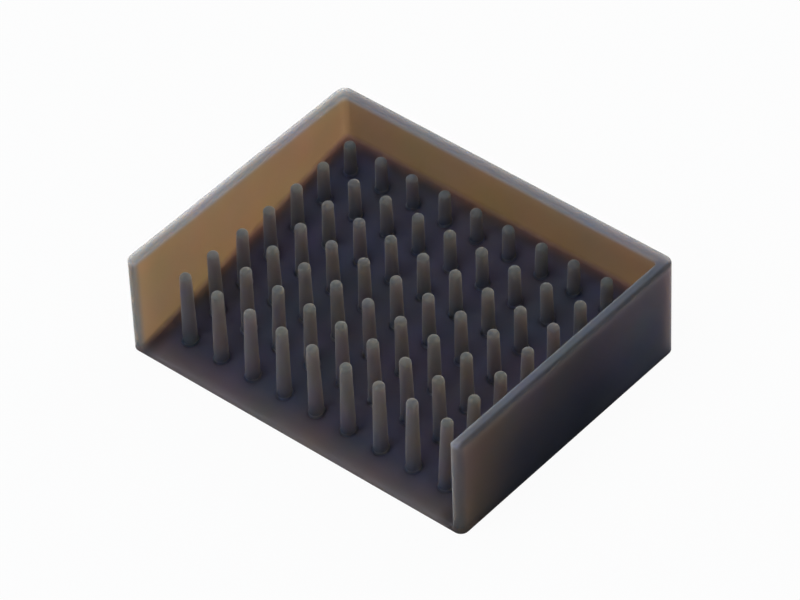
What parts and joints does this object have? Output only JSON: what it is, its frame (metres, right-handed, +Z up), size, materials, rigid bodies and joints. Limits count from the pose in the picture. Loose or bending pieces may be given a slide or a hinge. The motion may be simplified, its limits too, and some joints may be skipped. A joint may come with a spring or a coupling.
{
  "type": "soap dish",
  "caption": "Open-fronted silicone soap dish with a sloping floor that drains over a thin front lip and soft round-tipped pegs that hold a bar level.",
  "frame": {"origin": "middle of the footprint, on the surface that the dish stands on", "axes": "+X runs along the open front, +Y runs from the open front to the back wall, +Z is up"},
  "size_m": [0.12, 0.0936, 0.0336],
  "materials": {
    "silicone": "smoky translucent silicone, satin"
  },
  "bodies": {
    "tray": {"tray": "silicone"},
    "peg_row_1": {"peg_row_1_col_1": "silicone", "peg_row_1_col_2": "silicone", "peg_row_1_col_3": "silicone", "peg_row_1_col_4": "silicone", "peg_row_1_col_5": "silicone", "peg_row_1_col_6": "silicone", "peg_row_1_col_7": "silicone", "peg_row_1_col_8": "silicone", "peg_row_1_col_9": "silicone"},
    "peg_row_2": {"peg_row_2_col_1": "silicone", "peg_row_2_col_2": "silicone", "peg_row_2_col_3": "silicone", "peg_row_2_col_4": "silicone", "peg_row_2_col_5": "silicone", "peg_row_2_col_6": "silicone", "peg_row_2_col_7": "silicone", "peg_row_2_col_8": "silicone", "peg_row_2_col_9": "silicone"},
    "peg_row_3": {"peg_row_3_col_1": "silicone", "peg_row_3_col_2": "silicone", "peg_row_3_col_3": "silicone", "peg_row_3_col_4": "silicone", "peg_row_3_col_5": "silicone", "peg_row_3_col_6": "silicone", "peg_row_3_col_7": "silicone", "peg_row_3_col_8": "silicone", "peg_row_3_col_9": "silicone"},
    "peg_row_4": {"peg_row_4_col_1": "silicone", "peg_row_4_col_2": "silicone", "peg_row_4_col_3": "silicone", "peg_row_4_col_4": "silicone", "peg_row_4_col_5": "silicone", "peg_row_4_col_6": "silicone", "peg_row_4_col_7": "silicone", "peg_row_4_col_8": "silicone", "peg_row_4_col_9": "silicone"},
    "peg_row_5": {"peg_row_5_col_1": "silicone", "peg_row_5_col_2": "silicone", "peg_row_5_col_3": "silicone", "peg_row_5_col_4": "silicone", "peg_row_5_col_5": "silicone", "peg_row_5_col_6": "silicone", "peg_row_5_col_7": "silicone", "peg_row_5_col_8": "silicone", "peg_row_5_col_9": "silicone"},
    "peg_row_6": {"peg_row_6_col_1": "silicone", "peg_row_6_col_2": "silicone", "peg_row_6_col_3": "silicone", "peg_row_6_col_4": "silicone", "peg_row_6_col_5": "silicone", "peg_row_6_col_6": "silicone", "peg_row_6_col_7": "silicone", "peg_row_6_col_8": "silicone", "peg_row_6_col_9": "silicone"}
  },
  "joints": [
    {"name": "peg_row_1_bend", "type": "hinge", "parent": "tray", "child": "peg_row_1", "pos_m": [0, -0.03685, 0.00745], "axis": [1, 0, 0], "range_deg": [-20, 20], "stiffness_Nm_per_rad": 0.0307},
    {"name": "peg_row_2_bend", "type": "hinge", "parent": "tray", "child": "peg_row_2", "pos_m": [0, -0.02518, 0.00975], "axis": [1, 0, 0], "range_deg": [-20, 20], "stiffness_Nm_per_rad": 0.0304},
    {"name": "peg_row_3_bend", "type": "hinge", "parent": "tray", "child": "peg_row_3", "pos_m": [0, -0.01352, 0.01204], "axis": [1, 0, 0], "range_deg": [-20, 20], "stiffness_Nm_per_rad": 0.0269},
    {"name": "peg_row_4_bend", "type": "hinge", "parent": "tray", "child": "peg_row_4", "pos_m": [0, -0.00185, 0.01434], "axis": [1, 0, 0], "range_deg": [-20, 20], "stiffness_Nm_per_rad": 0.0166},
    {"name": "peg_row_5_bend", "type": "hinge", "parent": "tray", "child": "peg_row_5", "pos_m": [0, 0.00982, 0.01664], "axis": [1, 0, 0], "range_deg": [-20, 20], "stiffness_Nm_per_rad": 0.00948},
    {"name": "peg_row_6_bend", "type": "hinge", "parent": "tray", "child": "peg_row_6", "pos_m": [0, 0.02148, 0.01893], "axis": [1, 0, 0], "range_deg": [-20, 20], "stiffness_Nm_per_rad": 0.00483}
  ]
}
